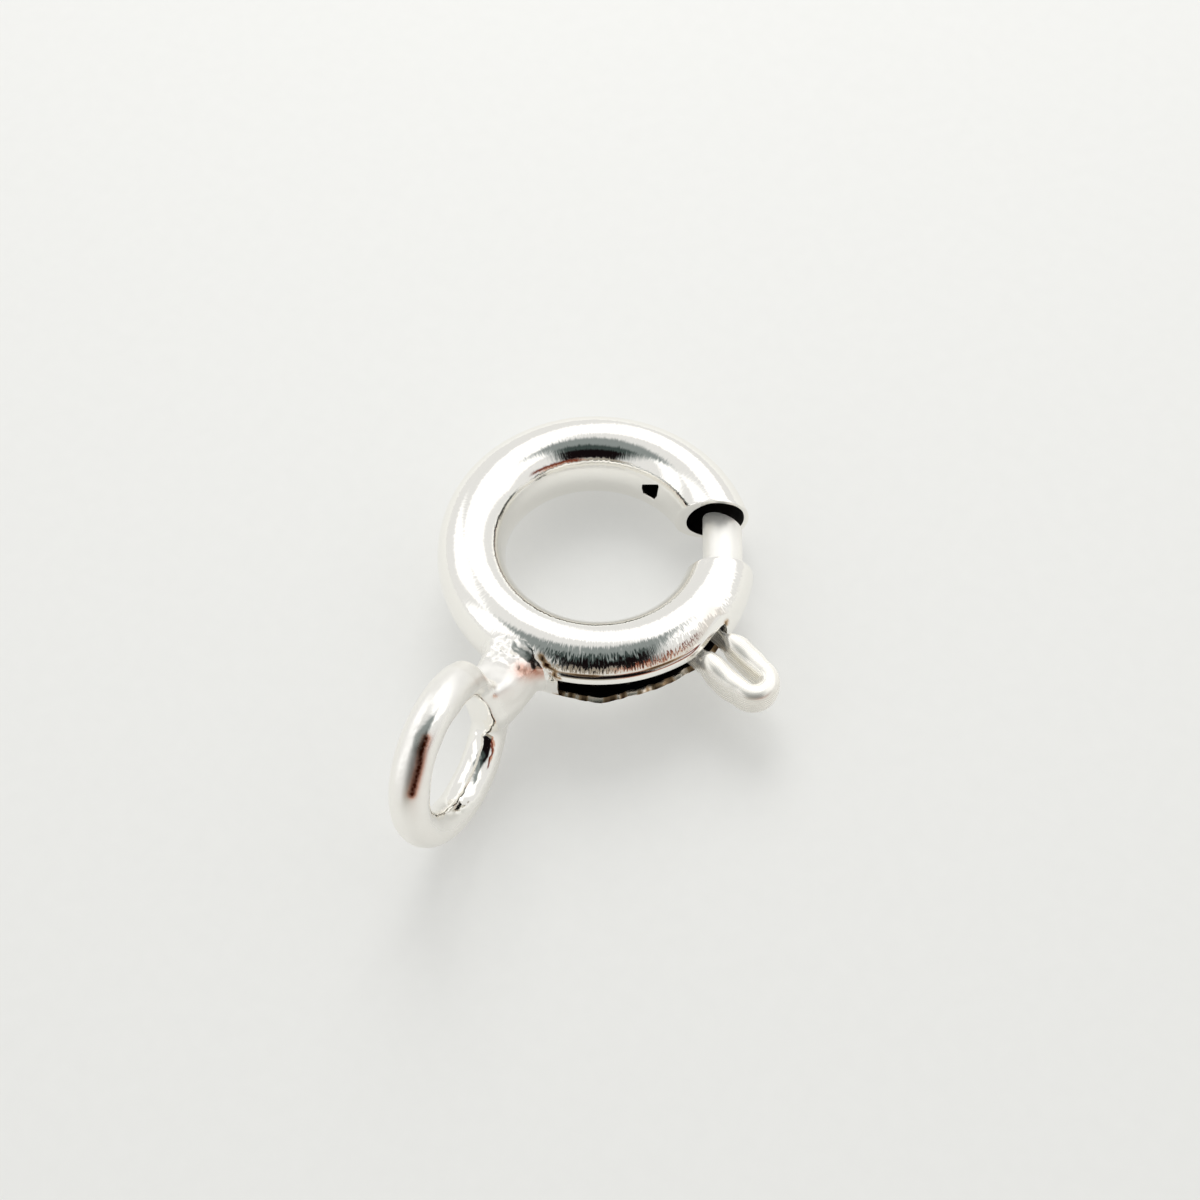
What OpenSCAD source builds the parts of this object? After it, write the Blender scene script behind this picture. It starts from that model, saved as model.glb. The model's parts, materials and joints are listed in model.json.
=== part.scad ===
// Spring ring clasp: a hollow C-shaped tube, a sprung bolt that closes its gap, and an upright end ring.
// Lengths are millimetres. The clasp lies as it rests on a flat surface, on its end ring and its far side.
// Each piece is drawn round the main ring's centre, the end ring towards -Y, and laid down by settle().

/* [Ring tube] */
// Outer diameter of the main ring
ring_od = 6.0; // [5.6:0.1:6.6]
// Width of the tube, measured across the ring
tube_w = 1.28; // [1.22:0.02:1.34]
// Height of the tube, measured along the ring's axis
tube_h = 1.62; // [1.56:0.02:1.7]
// Thickness of the tube's wall
tube_wall = 0.09; // [0.07:0.01:0.11]
// Width of the straight gap that the bolt closes
gap_w = 1.32; // [1.1:0.02:1.5]
// Direction of the gap, seen from the ring's centre
gap_angle = 29.5; // [26:0.5:33]
// Distance of the gap's middle line from the ring's centre
gap_shift = 0.12; // [0:0.02:0.2]

/* [Slot] */
// Height of the slot in the tube's outer wall
slot_h = 0.7; // [0.68:0.01:0.76]
// How far the slot's middle lies below the middle of the tube
slot_drop = 0.1; // [0:0.01:0.12]
// End of the slot beside the end ring
slot_open_angle = -72.5; // [-74:0.5:-69]
// How far the slot's lips are turned out
lip_out = 0.08; // [0.04:0.01:0.1]
// Height of each turned-out lip
lip_h = 0.08; // [0.06:0.01:0.12]

/* [Stop] */
// Angle of the stop, where the inner wall is pressed in behind the spring
stop_angle = 83; // [79:1:87]
// Width of the hole that the pressed-in stop leaves
stop_w = 0.42; // [0.3:0.02:0.46]

/* [Bolt] */
// Diameter of the bolt
bolt_d = 0.75; // [0.7:0.01:0.8]
// How far the bolt's middle line lies outside the tube's middle line
bolt_shift = 0.02; // [0:0.01:0.04]
// How far the middle of the bolt's tip stops short of the gap's far side
tip_short = 0.05; // [0.02:0.01:0.08]
// Slant of the bolt's tip, whose inner side reaches into the tube
tip_slant = 16; // [12:1:20]
// Angle of the bolt's tail, where the spring pushes
tail_angle = -27; // [-30:1:-24]

/* [Trigger] */
// Angle of the trigger when the clasp is closed
trigger_angle = -13.5; // [-14.5:0.5:-12]
// Distance of the trigger's outer end from the ring's centre
trigger_reach = 4.46; // [4.3:0.02:4.6]
// Width of the trigger's loop
trigger_w = 0.98; // [0.9:0.02:1.1]
// Width of the trigger where it leaves the slot
trigger_root_w = 0.68; // [0.6:0.02:0.72]
// Height of the trigger's flattened wire
trigger_h = 0.64; // [0.56:0.01:0.66]
// Width of the slit between the trigger's legs
slit_w = 0.17; // [0.12:0.01:0.24]

/* [End ring] */
// Diameter of the end ring's hole
eye_hole_d = 2.1; // [1.9:0.02:2.3]
// Thickness of the end ring's round wire
eye_wire_d = 0.7; // [0.62:0.01:0.78]
// Distance from the main ring to the end ring, along the neck
eye_gap = 0.23; // [0.16:0.01:0.26]
// Lean of the end ring about its neck
eye_lean = -9; // [-12:1:12]
// Turn of the end ring about its upright line
eye_turn = 5; // [-8:1:8]
// Thickness of the neck where it meets the end ring
neck_d = 1.16; // [1:0.02:1.24]
// Radius of the solder fillet between the neck and the tube
neck_fillet = 0.14; // [0.1:0.02:0.18]

/* [Spring] */
// Thickness of the spring's wire
spring_wire_d = 0.16; // [0.12:0.01:0.2]
// Space between the spring's turns and the tube
spring_clearance = 0.06; // [0.04:0.01:0.1]
// Number of turns in the spring
spring_turns = 20; // [16:1:24]

/* [Hidden] */

// Space beside the trigger's leg at the end of its slot, and at each end of the spring
running_clearance = 0.02;
end_clearance = 0.06;

// Sizes that follow from the ones above
ring_r = ring_od / 2;
mid_r = ring_r - tube_w / 2;
tube_roundness = 0.95;
tube_top_r = tube_roundness * tube_w / 2;
bore_w = tube_w - 2 * tube_wall;
bore_h = tube_h - 2 * tube_wall;
bolt_r = bolt_d / 2;
bolt_mid_r = mid_r + bolt_shift;
eye_wire_r = eye_wire_d / 2;
eye_mid_r = (eye_hole_d + eye_wire_d) / 2;
eye_r = eye_mid_r + eye_wire_r;
eye_reach = ring_r + eye_gap + eye_r;
eye_low = eye_mid_r * cos(eye_lean) + eye_wire_r;
slot_closed_angle = trigger_angle + asin((trigger_root_w / 2 + running_clearance) / (bolt_mid_r + bolt_r));
spring_coil_r = bore_w / 2 - spring_clearance - spring_wire_d / 2;
big = 4 * ring_r;

// Lie of the clasp: its end ring and the far side of its tube both touch the surface
rest_tilt = asin((eye_low - tube_h / 2) / (eye_reach + mid_r));
rest_lift = mid_r * sin(rest_tilt) + (tube_h / 2 - tube_top_r) * cos(rest_tilt) + tube_top_r;

// Middle of the whole clasp's outline on the surface
trigger_end_x = (trigger_reach - trigger_w / 2) * cos(trigger_angle) + trigger_w / 2;
middle_x = (trigger_end_x - ring_r) / 2;
middle_y = (ring_r - (eye_reach + eye_r)) / 2 * cos(rest_tilt);

// Roll towards the trigger, whose weight tips the clasp about the line between its two resting points
rest_roll = 1.4;

// Lays a piece down from the frame in which the main ring is level
module settle() {
    translate([-middle_x, -middle_y, rest_lift]) rotate([-rest_tilt, rest_roll, 0]) children();
}

// An upright oval of four arcs, tangent where they meet, whose top arcs have radius top_r
module oval(w, h, top_r) {
    rise = h / 2 - top_r;
    side_r = (w * w / 4 + rise * rise - top_r * top_r) / (w - 2 * top_r);
    join_h = rise * side_r / (side_r - top_r);
    intersection() {
        translate([w / 2 - side_r, 0]) circle(r = side_r, $fn = 96);
        translate([side_r - w / 2, 0]) circle(r = side_r, $fn = 96);
        square([2 * w, 2 * join_h], center = true);
    }
    for (side = [-1, 1]) translate([0, side * rise]) circle(r = top_r, $fn = 96);
}

// The tube's outside, made larger all round by grow
module tube_outside(grow = 0) {
    translate([mid_r, 0]) oval(tube_w + 2 * grow, tube_h + 2 * grow, tube_top_r + grow);
}

module tube_bore() {
    rotate_extrude($fn = 120)
        translate([mid_r, 0]) oval(bore_w, bore_h, tube_top_r - tube_wall);
}

// A sector of the ring's outer wall at the slot's height, height h, from one angle to another
module outer_band(from, to, h) {
    rotate([0, 0, from]) rotate_extrude(angle = to - from, $fn = 120)
        translate([mid_r, -slot_drop - h / 2]) square([tube_w, h]);
}

module gap() {
    rotate([0, 0, gap_angle]) translate([0, gap_shift - gap_w / 2, -tube_h])
        cube([big, gap_w, 2 * tube_h]);
}

// The lips run a little past the slot at both ends
module slot_lips() {
    past = 3;
    intersection() {
        rotate_extrude($fn = 120) tube_outside(lip_out);
        outer_band(slot_open_angle - past, slot_closed_angle + past, slot_h + 2 * lip_h);
    }
}

// The pick-shaped hole in the inner wall, its corners in shares of its width
module stop_hole() {
    corners = [[-0.5, 0.9], [-0.5, 0.05], [-0.25, -0.5], [0.35, -0.5], [0.5, 0.2]];
    rotate([0, 0, stop_angle]) translate([mid_r - tube_w, 0, 0]) rotate([90, 0, 90])
        linear_extrude(tube_w) polygon(stop_w * corners);
}

// The solder neck, round the radial direction: a dome over the end ring's wire, with a fillet at its foot
module neck() {
    foot_r = neck_d / 2 + neck_fillet;
    foot_y = ring_r - tube_wall;
    inside_y = ring_r - tube_w / 2;
    dome_y = ring_r - tube_wall;
    head_y = ring_r + eye_gap + eye_wire_r;
    rotate([90, 0, 0]) rotate_extrude($fn = 96) {
        difference() {
            translate([0, inside_y]) square([foot_r, foot_y + neck_fillet - inside_y]);
            translate([foot_r, foot_y + neck_fillet]) circle(r = neck_fillet, $fn = 64);
        }
        intersection() {
            translate([0, foot_y]) square([neck_d / 2, big]);
            translate([0, dome_y]) circle(r = head_y - dome_y, $fn = 96);
        }
    }
}

module end_ring() {
    translate([0, -eye_reach, 0]) rotate([0, eye_lean, eye_turn]) rotate([0, 90, 0])
        rotate_extrude($fn = 120) translate([eye_mid_r, 0]) circle(r = eye_wire_r, $fn = 64);
}

module ring_body() {
    color("silver") settle() {
        difference() {
            union() {
                rotate_extrude($fn = 120) tube_outside();
                slot_lips();
                neck();
            }
            tube_bore();
            gap();
            outer_band(slot_open_angle, slot_closed_angle, slot_h);
            stop_hole();
        }
        end_ring();
    }
}

// The rod follows the tube up to the gap's direction and is straight from there to its tip
module bolt_rod() {
    bend = gap_angle - tail_angle;
    tip_y = gap_shift + gap_w / 2 - tip_short;
    rotate([0, 0, gap_angle]) difference() {
        union() {
            rotate([0, 0, -bend]) rotate_extrude(angle = bend, $fn = 120)
                translate([bolt_mid_r, 0]) circle(r = bolt_r, $fn = 64);
            translate([bolt_mid_r, 0, 0]) rotate([-90, 0, 0])
                cylinder(r = bolt_r, h = tip_y + bolt_r, $fn = 64);
        }
        translate([bolt_mid_r, tip_y, 0]) rotate([0, 0, -tip_slant])
            translate([-bolt_d, 0, -bolt_d]) cube(2 * bolt_d);
    }
}

// The trigger's outline seen from above, with its length along X
module trigger_outline() {
    loop_r = trigger_w / 2;
    loop_x = trigger_reach - loop_r;
    slit_end_x = loop_x + 0.1 * trigger_w;
    shoulder_x = ring_r + lip_out + 0.4 * (loop_x - ring_r);
    difference() {
        union() {
            translate([loop_x, 0]) circle(r = loop_r, $fn = 96);
            polygon([
                [bolt_mid_r, -trigger_root_w / 2],
                [ring_r + lip_out, -trigger_root_w / 2],
                [shoulder_x, -loop_r],
                [loop_x, -loop_r],
                [loop_x, loop_r],
                [shoulder_x, loop_r],
                [ring_r + lip_out, trigger_root_w / 2],
                [bolt_mid_r, trigger_root_w / 2]
            ]);
        }
        translate([slit_end_x, 0]) circle(r = slit_w / 2, $fn = 32);
        polygon([
            [bolt_mid_r + bolt_r, -slit_w],
            [ring_r + lip_out, -slit_w],
            [shoulder_x, -slit_w / 2],
            [slit_end_x, -slit_w / 2],
            [slit_end_x, slit_w / 2],
            [shoulder_x, slit_w / 2],
            [ring_r + lip_out, slit_w],
            [bolt_mid_r + bolt_r, slit_w]
        ]);
    }
}

// The trigger, level with the slot, its long corners rounded by a rod along its length
module trigger() {
    round_r = 0.6 * trigger_w;
    translate([0, 0, -slot_drop]) rotate([0, 0, trigger_angle]) intersection() {
        translate([0, 0, -trigger_h / 2]) linear_extrude(trigger_h) trigger_outline();
        rotate([0, 90, 0]) cylinder(r = round_r, h = big, $fn = 96);
    }
}

module bolt() {
    color("silver") settle() {
        bolt_rod();
        trigger();
    }
}

// The spring is one wire swept along a coil that follows the tube, from the bolt's tail to the stop.
// The first and last turns are closed up.
module spring() {
    wire_sides = 6;
    steps = 12;
    margin = asin((spring_wire_d / 2 + end_clearance) / mid_r);
    first = tail_angle - margin;
    last = stop_angle - 360 + asin((stop_w / 2 + end_clearance) / mid_r) + margin;
    count = spring_turns * steps;
    pitch_end = asin(1.25 * spring_wire_d / mid_r);
    middle_turns = spring_turns - 2;
    middle_span = last - first + 2 * pitch_end;
    // Angle round the ring after a share t of all turns
    function along(t) =
        let (turn = t * spring_turns)
        turn < 1 ? first - turn * pitch_end :
        turn > spring_turns - 1 ? last + (spring_turns - turn) * pitch_end :
        first - pitch_end + (turn - 1) / middle_turns * middle_span;
    function coil_point(t) =
        let (a = along(t), b = 360 * t * spring_turns, r = mid_r + spring_coil_r * cos(b))
        [r * cos(a), r * sin(a), spring_coil_r * sin(b)];
    function unit(v) = v / norm(v);
    // A ring of the wire's surface, square to the coil
    function wire_ring(i) =
        let (
            here = coil_point(i / count),
            ahead = unit(coil_point((i + 0.1) / count) - coil_point((i - 0.1) / count)),
            a = along(i / count),
            b = 360 * i / steps,
            out = [cos(b) * cos(a), cos(b) * sin(a), sin(b)],
            u = unit(out - ahead * (out * ahead)),
            w = cross(ahead, u)
        )
        [for (k = [0 : wire_sides - 1])
            let (c = 360 * k / wire_sides)
            here + spring_wire_d / 2 * (cos(c) * u + sin(c) * w)];
    rings = [for (i = [0 : count]) wire_ring(i)];
    points = [for (ring = rings) for (point = ring) point];
    sides = [for (i = [0 : count - 1]) for (k = [0 : wire_sides - 1])
        let (m = (k + 1) % wire_sides, at = i * wire_sides)
        [at + k, at + wire_sides + k, at + wire_sides + m, at + m]];
    start_cap = [for (k = [0 : wire_sides - 1]) k];
    end_cap = [for (k = [wire_sides - 1 : -1 : 0]) count * wire_sides + k];
    color("lightgray") settle() polyhedron(points, concat([start_cap], sides, [end_cap]));
}

ring_body();
bolt();
spring();
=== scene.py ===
import json
from math import asin, atan2, copysign, cos, degrees, exp, hypot, inf, pi, radians, sin, sqrt, tau

import bmesh
import bpy
from mathutils import Matrix, Vector, noise


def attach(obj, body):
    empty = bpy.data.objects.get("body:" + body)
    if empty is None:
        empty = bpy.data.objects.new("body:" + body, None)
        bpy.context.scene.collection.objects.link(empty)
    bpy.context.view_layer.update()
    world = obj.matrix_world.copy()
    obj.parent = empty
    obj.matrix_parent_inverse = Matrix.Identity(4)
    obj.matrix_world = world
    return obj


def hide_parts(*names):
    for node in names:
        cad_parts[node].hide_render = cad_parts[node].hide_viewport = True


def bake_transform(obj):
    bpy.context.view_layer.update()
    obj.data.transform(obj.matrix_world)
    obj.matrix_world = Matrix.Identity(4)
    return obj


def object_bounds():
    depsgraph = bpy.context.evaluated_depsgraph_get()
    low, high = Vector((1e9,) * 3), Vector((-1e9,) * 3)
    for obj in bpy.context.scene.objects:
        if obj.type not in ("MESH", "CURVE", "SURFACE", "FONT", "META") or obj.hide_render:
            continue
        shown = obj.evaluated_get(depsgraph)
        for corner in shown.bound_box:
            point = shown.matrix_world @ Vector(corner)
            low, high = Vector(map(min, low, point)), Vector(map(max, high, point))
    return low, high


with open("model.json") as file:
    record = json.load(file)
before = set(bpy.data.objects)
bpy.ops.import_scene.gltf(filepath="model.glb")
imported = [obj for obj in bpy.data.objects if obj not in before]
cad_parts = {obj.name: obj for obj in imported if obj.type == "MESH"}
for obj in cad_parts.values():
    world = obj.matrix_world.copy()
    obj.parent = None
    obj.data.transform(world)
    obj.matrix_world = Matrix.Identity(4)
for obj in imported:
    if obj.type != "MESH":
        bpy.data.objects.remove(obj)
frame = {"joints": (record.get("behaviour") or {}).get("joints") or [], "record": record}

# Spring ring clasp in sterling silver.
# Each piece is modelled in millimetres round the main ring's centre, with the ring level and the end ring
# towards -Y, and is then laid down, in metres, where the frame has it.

cad_low, cad_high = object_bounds()

# Units, in metres, and how many millimetres a metre has
millimetre = 0.001
micron = 1e-6
mm_per_metre = 1000

# Ring tube, in millimetres and degrees
ring_r = 3.0
tube_w = 1.28
tube_h = 1.62
tube_top_r = 0.608
tube_wall = 0.09
mid_r = ring_r - tube_w / 2
gap_angle = 29.5
gap_w = 1.32
gap_shift = 0.12
slot_low = -0.45
slot_high = 0.25
slot_open_angle = -72.5
rim_bevel = 0.012
sharp_edge = 50.0
cut_slack = 1e-5

# Far mouth: how it leans back, how far it stands ahead, and how its inner side is pinched in
mouth_lean = 0.17
mouth_ahead = 0.06
mouth_crimp = 0.14
crimp_deep = 0.35
crimp_from = 0.1
crimp_run_in = 0.55
crimp_slack = 0.01

# Degrees round the ring over which the sections turn from each mouth's cut to straight across the tube
far_mouth_run_out = 40
near_mouth_run_out = 19

# Degrees past the slot's ends over which its edges run out
lip_run_out = 3.0

# Slot's upper edge: a narrow flange under a crease, which stops short of the closed trigger
flange_w = 0.17
flange_out = 0.035
flange_fall = 0.08
flange_fall_early = 0.07
flange_short = 7
flange_run_out = 12

# Lift of the slot's upper edge where the closed trigger comes out
lift_h = 0.17
lift_early = 20
lift_run_in = 18
lift_past = 6
lift_run_out = 9
lift_fade = 0.54

# Slot's lower edge: a burr, ragged outwards, with a bulge where a chip is out of it
chip_angle = -57.6
lip_reach = 0.11
burr_in = 0.015
bulge_out = 0.09
bulge_run = 8
rag_out = 0.022
rag_size = 0.19
fine_rag_out = 0.014
fine_rag_size = 0.07

# Burr's rise into the slot, torn past the chip
burr_rise_reach = 0.05
burr_rise = 0.02
torn_rise = 0.05
rise_past_chip = 3
rise_run_in = 6
rise_rag_turn = 40

# Burr's fold into the bore, torn past the chip
fold_reach = 0.06
burr_fold = 0.02
torn_fold = 0.05
fold_past_chip = 5
fold_run_in = 8

# Line through the noise along which ragged edges are read
rag_line = (0.5, 3.7)

# Uneven shares round the ring: each one's wave size in millimetres, mean and swing
rise_waves = (0.2, 0.6, 0.8)
fold_waves = (0.3, 0.8, 0.6)
crease_waves = (0.45, 0.4, 1.3)
burr_waves = (0.11, 0.4, 2.2)

# Rows of faces round the section: across the slot, beside it over a stretch in degrees, and on the rest
beside_stretch = 24
slot_rows = 10
flange_rows = 24
round_rows = 58
burr_rows = 8

# Sections along the tube: up to the slot, along it and past it
sections_before_slot = 180
sections_along_slot = 88
sections_past_slot = 20

# Stop hole in the inner wall, its corners as shares of its width, and the stretch of wall it lies in
stop_angle = 83.0
stop_w = 0.42
stop_corners = [
    (-0.22, 0.91), (-0.29, 0.82), (-0.3, 0.24), (-0.12, -0.24), (0.44, -0.22), (0.55, 0.16), (0.55, 0.41)]
stop_near_turn = 14
stop_near_in = 0.25
stop_near_h = 0.6

# Bolt and trigger
bolt_r = 0.375
bolt_shift = 0.02
bolt_mid_r = mid_r + bolt_shift
tail_angle = -27.0
tip_short = 0.04
tip_slant = 21.0
tip_round = 0.08
trigger_angle = -13.5
trigger_reach = 4.46
trigger_w = 0.98
trigger_root_w = 0.68
trigger_h = 0.64
trigger_drop = 0.1
trigger_gap = 0.02
slit_w = 0.17

# End ring and its neck
eye_wire_r = 0.35
eye_mid_r = 1.4
eye_reach = 4.98
eye_lean = -9.0
eye_turn = 5.0
neck_r = 0.58
neck_fillet = 0.14
neck_foot_deep = 0.05
neck_head_deep = 0.45
neck_dome = 0.6
neck_seat_h = 0.78
neck_spread_up = 0.45
neck_spread_in = 0.2
neck_spread_down = 0.95

# Spring
spring_wire_r = 0.08
spring_coil_r = 0.41
spring_turns = 20
spring_gap = 0.06
end_turn_pitch = 1.25

# How far round the ring, in degrees from the gap's direction on, the mouths and the slot's ends lie
first_turn = degrees(asin((gap_shift + gap_w / 2) / mid_r))
last_turn = 360 - degrees(asin((gap_w / 2 - gap_shift) / mid_r))
trigger_side = trigger_root_w / 2 + trigger_gap
slot_closed_angle = trigger_angle + degrees(asin(trigger_side / (bolt_mid_r + bolt_r)))
open_turn = slot_open_angle - gap_angle + 360
closed_turn = slot_closed_angle - gap_angle + 360
chip_turn = chip_angle - gap_angle + 360

# Where the spring's first and last turns lie, clear of the bolt's tail and of the stop
coil_room = degrees(asin((spring_wire_r + spring_gap) / mid_r))
spring_from = tail_angle - coil_room
spring_to = stop_angle - 360 + degrees(asin((stop_w / 2 + spring_gap) / mid_r)) + coil_room

# Marks, as lines of places in the ring's own frame, with their widths: pits that flux has left in the tube
# and the solder; two painted reflections, a pink one beside the pits and a brown streak on the end ring;
# and a dark spot at the slot's closed end
pit_line = [Vector(co) for co in ((0.5, -2.78, 0.59), (0.75, -2.83, 0.42), (0.88, -2.87, 0.32))]
bloom_line = [Vector(co) for co in ((0.32, -3.14, 0.48), (0.6, -2.95, 0.33))]
streak_line = [Vector(co) for co in (
    (0.03, -5.63, 1.56), (0.06, -5.82, 1.47), (0.13, -6.01, 1.31), (0.17, -6.21, 1.13), (0.19, -6.38, 0.93))]
slot_end_spot = Vector((2.924, -0.293, 0.389))
pit_w = 0.07
pits_per_mm = 14
pit_strength = 1.8
pit_share = 0.5
bloom_w = 0.16
streak_w = 0.075
spot_w = 0.05

# Where the end ring's outer side has been struck bright
facet_line = [Vector(co) for co in ((-0.04, -5.05, 1.72), (-0.02, -5.35, 1.68), (-0.02, -5.6, 1.57))]
facet_w = 0.22

# The frame's own joint and mount say where the clasp lies
joint = frame["joints"][0]
mount_places = {mount["name"]: Vector(mount["pos_m"]) for mount in frame["record"]["mounts"]}
ring_centre = Vector(joint["pos_m"])
ring_up = Vector(joint["axis"]).normalized()
to_end_ring = mount_places["end_ring_eye"] - ring_centre
ring_back = (ring_up * to_end_ring.dot(ring_up) - to_end_ring).normalized()
lie = Matrix((ring_back.cross(ring_up), ring_back, ring_up)).transposed().to_4x4()
lie.translation = ring_centre
lay_down = lie @ Matrix.Scale(millimetre, 4)


def smooth(share):
    """Eases a share from 0 to 1, and holds it there outside."""
    share = min(max(share, 0.0), 1.0)
    return share * share * (3 - 2 * share)


def turned(degrees_round):
    return Matrix.Rotation(radians(degrees_round), 4, "Z")


def ring_turn(co):
    """Degrees round the main ring, from the gap's direction on."""
    return (degrees(atan2(co.y, co.x)) - gap_angle) % 360


def near_line(co, line, width):
    """1 on a line of places, falling to 0 beside it."""
    nearest = inf
    for start, end in zip(line, line[1:]):
        way = end - start
        share = min(max((co - start).dot(way) / way.length_squared, 0), 1)
        nearest = min(nearest, (start + share * way - co).length)
    return exp(-(nearest / width) ** 2)


def pitted(co):
    """How deeply flux has pitted the metal at a place."""
    grain = noise.noise(co * pits_per_mm)
    return smooth(pit_strength * near_line(co, pit_line, pit_w) * (pit_share + grain))


def add_object(name, data):
    """Puts a mesh, a camera or a light into the scene."""
    added = bpy.data.objects.new(name, data)
    bpy.context.collection.objects.link(added)
    return added


def mesh_object(bm, name):
    """Makes a finished mesh an object."""
    mesh = bpy.data.meshes.new(name)
    bm.to_mesh(mesh)
    bm.free()
    return add_object(name, mesh)


def make_piece(bm, name, materials):
    """Lays a finished mesh down in the frame as a smooth object."""
    bm.transform(lay_down)
    piece = mesh_object(bm, name)
    piece.data.shade_smooth()
    for material in materials:
        piece.data.materials.append(material)
    return piece


# Materials


def linear(hex_code):
    """An sRGB hex colour as linear red, green, blue and alpha."""
    shares = [int(hex_code[i:i + 2], 16) / 255 for i in (1, 3, 5)]
    return [s / 12.92 if s <= 0.04045 else ((s + 0.055) / 1.055) ** 2.4 for s in shares] + [1.0]


def add_node(tree, kind, inputs=None, **settings):
    """Adds a node with its settings. An input is given a value, or is linked from an output, which is the
    first one where a node is given."""
    new = tree.nodes.new(kind)
    for name, value in settings.items():
        setattr(new, name, value)
    for name, value in (inputs or {}).items():
        if isinstance(value, bpy.types.Node):
            value = value.outputs[0]
        if isinstance(value, bpy.types.NodeSocket):
            tree.links.new(value, new.inputs[name])
        else:
            new.inputs[name].default_value = value
    return new


def new_material(name):
    """An empty node material and its tree."""
    material = bpy.data.materials.new(name)
    material.use_nodes = True
    tree = material.node_tree
    tree.nodes.clear()
    return material, tree


def polished_silver():
    """Sterling silver, buffed on a wheel: a mirror whose fine cross-wise buffing lines comb each dark
    reflection, with a few long scratches, brown tarnish where polish can't reach, and painted shade, dark
    brown, in the crease over the slot."""
    material, tree = new_material("sterling_silver_buffed")
    # Real buffing lines are about 0.01 mm apart. They are drawn five times as coarse, and the hairs between
    # them nearly three times, so that they show
    line_spacing = 0.05
    line_length = 0.35
    line_depth = 2
    line_tilt = 0.24
    hair_spacing = 0.026
    hair_length = 0.14
    hair_tilt = 0.34
    scratch_spacing = 0.11
    scratch_length = 1.6
    scratch_depth = 2.5
    dent_size = 1.1
    dent_depth = 8
    clean_roughness = 0.07
    tarnished_roughness = 0.42
    uv = add_node(tree, "ShaderNodeUVMap", uv_map="UVMap")
    lines_at = add_node(tree, "ShaderNodeMapping", {
        "Vector": uv, "Scale": (1 / line_spacing, 1 / line_length, 1)})
    lines = add_node(tree, "ShaderNodeTexNoise", {
        "Vector": lines_at, "Scale": 1.0, "Detail": 3.0, "Roughness": 0.6, "Distortion": 0.3})
    scratches_at = add_node(tree, "ShaderNodeMapping", {
        "Vector": uv, "Scale": (1 / scratch_length, 1 / scratch_spacing, 1)})
    scratches = add_node(tree, "ShaderNodeTexNoise", {
        "Vector": scratches_at, "Scale": 1.0, "Detail": 4.0, "Roughness": 0.7})
    scratched = add_node(tree, "ShaderNodeMapRange", {
        "Value": scratches, "From Min": 0.68, "From Max": 0.74, "To Min": 1.0, "To Max": 0.0})
    dents_at = add_node(tree, "ShaderNodeMapping", {
        "Vector": uv, "Scale": (1 / dent_size, 1 / dent_size, 1)})
    dents = add_node(tree, "ShaderNodeTexNoise", {"Vector": dents_at, "Scale": 1.0, "Detail": 1.0})
    dent_bump = add_node(tree, "ShaderNodeBump", {
        "Strength": 1.0, "Distance": dent_depth * micron, "Height": dents})
    line_bump = add_node(tree, "ShaderNodeBump", {
        "Strength": 1.0, "Distance": line_depth * micron, "Height": lines, "Normal": dent_bump})
    scratch_bump = add_node(tree, "ShaderNodeBump", {
        "Strength": 1.0, "Distance": scratch_depth * micron, "Height": scratched, "Normal": line_bump})
    # Each line also tips the mirror a little round the tube, which combs the edges of what it mirrors
    along = add_node(tree, "ShaderNodeTangent", direction_type="UV_MAP", uv_map="UVMap")
    across = add_node(tree, "ShaderNodeVectorMath", {0: scratch_bump, 1: along}, operation="CROSS_PRODUCT")
    line_tip = add_node(tree, "ShaderNodeMapRange", {
        "Value": lines, "To Min": -line_tilt / 2, "To Max": line_tilt / 2})
    hairs_at = add_node(tree, "ShaderNodeMapping", {
        "Vector": uv, "Scale": (1 / hair_spacing, 1 / hair_length, 1)})
    hairs = add_node(tree, "ShaderNodeTexNoise", {
        "Vector": hairs_at, "Scale": 1.0, "Detail": 1.0, "Distortion": 0.5})
    hair_tip = add_node(tree, "ShaderNodeMapRange", {
        "Value": hairs, "From Min": 0.42, "From Max": 0.78, "To Min": -0.1 * hair_tilt,
        "To Max": 0.9 * hair_tilt})
    combing = add_node(tree, "ShaderNodeAttribute", attribute_name="combing")
    both_tips = add_node(tree, "ShaderNodeMath", {0: line_tip, 1: hair_tip}, operation="ADD")
    tilt = add_node(tree, "ShaderNodeMath", {0: both_tips, 1: combing.outputs["Fac"]}, operation="MULTIPLY")
    tipped = add_node(tree, "ShaderNodeVectorMath", {0: across, "Scale": tilt}, operation="SCALE")
    combed = add_node(tree, "ShaderNodeVectorMath", {0: scratch_bump, 1: tipped}, operation="ADD")
    normal = add_node(tree, "ShaderNodeVectorMath", {0: combed}, operation="NORMALIZE")
    # The tube's tarnish, with painted shade in the crease over the slot
    tarnish = add_node(tree, "ShaderNodeAttribute", attribute_name="tarnish")
    thin = add_node(tree, "ShaderNodeMapRange", {
        "Value": tarnish.outputs["Fac"], "From Min": 0.0, "From Max": 0.5})
    thick = add_node(tree, "ShaderNodeMapRange", {
        "Value": tarnish.outputs["Fac"], "From Min": 0.5, "From Max": 1.0})
    golden = add_node(tree, "ShaderNodeMix", {
        0: thin, 6: linear("#FBF9F4"), 7: linear("#C0A482")}, data_type="RGBA")
    colour = add_node(tree, "ShaderNodeMix", {
        0: thick, 6: golden.outputs[2], 7: linear("#2E160A")}, data_type="RGBA")
    roughness = add_node(tree, "ShaderNodeMapRange", {
        "Value": tarnish.outputs["Fac"], "From Min": 0.0, "From Max": 0.5, "To Min": clean_roughness,
        "To Max": tarnished_roughness})
    shader = add_node(tree, "ShaderNodeBsdfPrincipled", {
        "Metallic": 1.0, "Base Color": colour.outputs[2], "Roughness": roughness, "Normal": normal})
    add_node(tree, "ShaderNodeOutputMaterial", {"Surface": shader})
    return material


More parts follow.
